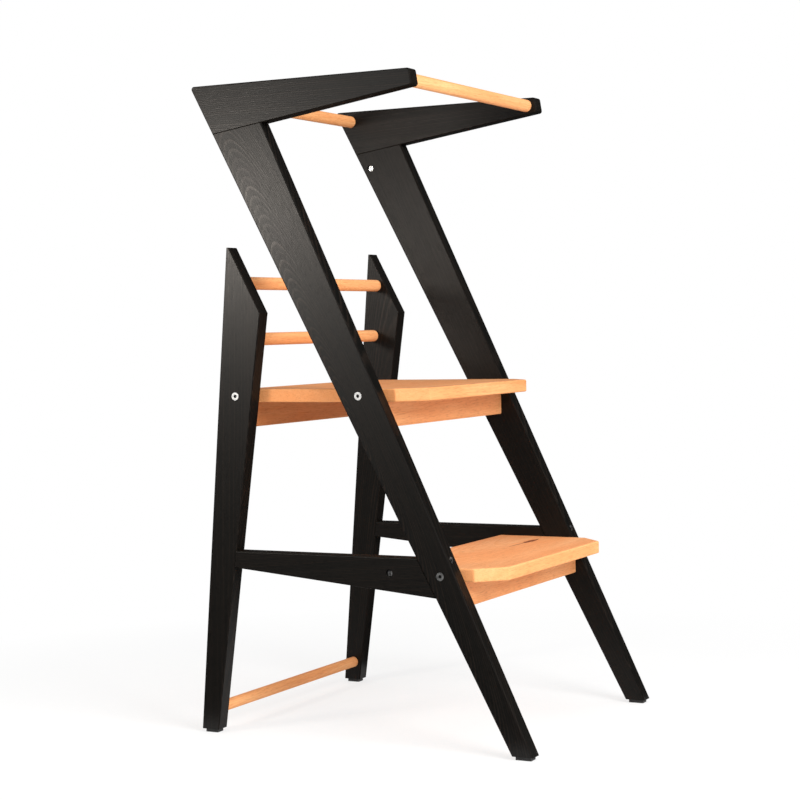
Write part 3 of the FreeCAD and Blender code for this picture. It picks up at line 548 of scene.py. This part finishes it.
def make_floor():
    """Flat white floor that keeps the stool's shadow and clears to white further out."""
    mesh = bpy.data.meshes.new("floor")
    turns = ((-1, -1), (1, -1), (1, 1), (-1, 1))
    corners = [(x * FLOOR_HALF, y * FLOOR_HALF, 0) for x, y in turns]
    mesh.from_pydata(corners, [], [(0, 1, 2, 3)])
    floor = bpy.data.objects.new("floor", mesh)
    bpy.context.scene.collection.objects.link(floor)

    graph = Graph("floor_paper")
    distance = graph.vector("LENGTH", graph.object_place())
    far = graph.fit(distance, FLOOR_CLEAR_FROM, FLOOR_CLEAR_TO, 1.0 - FLOOR_SHADOW_SHARE, 1.0)
    share = graph.math("MULTIPLY", far, background_rays(graph.tree))
    grit = graph.noise(graph.object_place(), PAPER_SCALE)
    tone = graph.mix(graph.fit(grit, *NOISE_SPAN), FLOOR_DARK, FLOOR_LIGHT)
    paper = graph.node("ShaderNodeBsdfDiffuse", {"Color": tone}).outputs[0]
    white = graph.node("ShaderNodeEmission", {"Color": (1, 1, 1, 1), "Strength": 1.0}).outputs[0]
    blend = graph.node("ShaderNodeMixShader", {"Fac": share})
    graph.tree.links.new(paper, blend.inputs[1])
    graph.tree.links.new(white, blend.inputs[2])
    mesh.materials.append(graph.surface(blend.outputs[0]))


# lamp: place, aim, side of its square face, radiance, colour
LIGHTS = {
    "key": ((-0.95, -1.9, 1.5), (0, 0, 0.45), 1.1, 13.5, (1, 1, 1)),
    "low_left": ((-0.75, -1.15, 0.55), (0, 0, 0.35), 0.8, 1.3, (1, 1, 1)),
    "overhead": ((0, -0.5, 2.5), (0, -0.1, 0), 1.6, 1.0, (1, 1, 1)),
    "rear_left": ((-0.88, 0.62, 0.76), (-0.2, 0.18, 0.70), 0.18, 46.0, (1.0, 0.92, 0.83)),
    "fill": ((2.4, -1.8, 1.8), (0, 0, 0.45), 1.6, 1.0, (1, 1, 1)),
}


def softbox(name, place, aim, side, radiance, colour):
    """Square area light; radiance is how bright its face is, 1 being white."""
    data = bpy.data.lights.new(name, "AREA")
    data.shape = "SQUARE"
    data.size = side
    data.energy = radiance * math.pi * side * side
    data.color = colour
    light = bpy.data.objects.new(name, data)
    direction = Vector(aim) - Vector(place)
    light.matrix_world = (Matrix.Translation(Vector(place))
                          @ direction.to_track_quat("-Z", "Y").to_matrix().to_4x4())
    light.visible_camera = False
    bpy.context.scene.collection.objects.link(light)


def make_lights():
    for name, setting in LIGHTS.items():
        softbox(name, *setting)


CARD_TONE = 0.05
CARD_DARK, CARD_LIGHT = (0.8, 0.8, 0.8), (1.2, 1.2, 1.2)  # the weave, in shares of the tone
WEAVE_SCALE = (90, 90, 90)


def make_card(name, corners):
    """Dark card that only reflections see: it keeps the black stain black."""
    mesh = bpy.data.meshes.new(name)
    mesh.from_pydata(corners, [], [(0, 1, 2, 3)])
    card = bpy.data.objects.new(name, mesh)
    bpy.context.scene.collection.objects.link(card)
    card.visible_camera = False
    card.visible_diffuse = False
    card.visible_shadow = False
    card.visible_transmission = False
    graph = Graph(name)
    weave = graph.noise(graph.object_place(), WEAVE_SCALE)
    tone = graph.mix(weave, CARD_DARK, CARD_LIGHT)
    emission = graph.node("ShaderNodeEmission", {"Color": tone, "Strength": CARD_TONE})
    mesh.materials.append(graph.surface(emission.outputs[0]))


# how far out from the stool's middle plane, and how high, the cards' foot, knee and top are
CARD_NEAR, CARD_FAR, CARD_TALL = 0.25, 1.00, 1.60
CARD_FOOT, CARD_KNEE, CARD_TOP = 0.01, 0.42, 3.0
# card: side, front end, rear end
CARDS = {"left": (-1, -0.6, 1.6), "right": (1, -2.6, 2.6)}


def make_cards():
    """A low sloping card on the left, and on the right one that goes on up as a wall."""
    for name, (sign, front, rear) in CARDS.items():
        near, far, tall = CARD_NEAR * sign, CARD_FAR * sign, CARD_TALL * sign
        make_card(f"card_{name}", [(near, front, CARD_FOOT), (near, rear, CARD_FOOT),
                                   (far, rear, CARD_KNEE), (far, front, CARD_KNEE)])
        if sign > 0:
            make_card("card_wall", [(far, front, CARD_KNEE), (far, rear, CARD_KNEE),
                                    (tall, rear, CARD_TOP), (tall, front, CARD_TOP)])


bpy.context.scene.view_settings.view_transform = "Standard"
dress_frames()
dress_cross_pieces()
dress_pins()
dress_small_parts()
make_world()
make_floor()
make_lights()
make_cards()
make_camera()
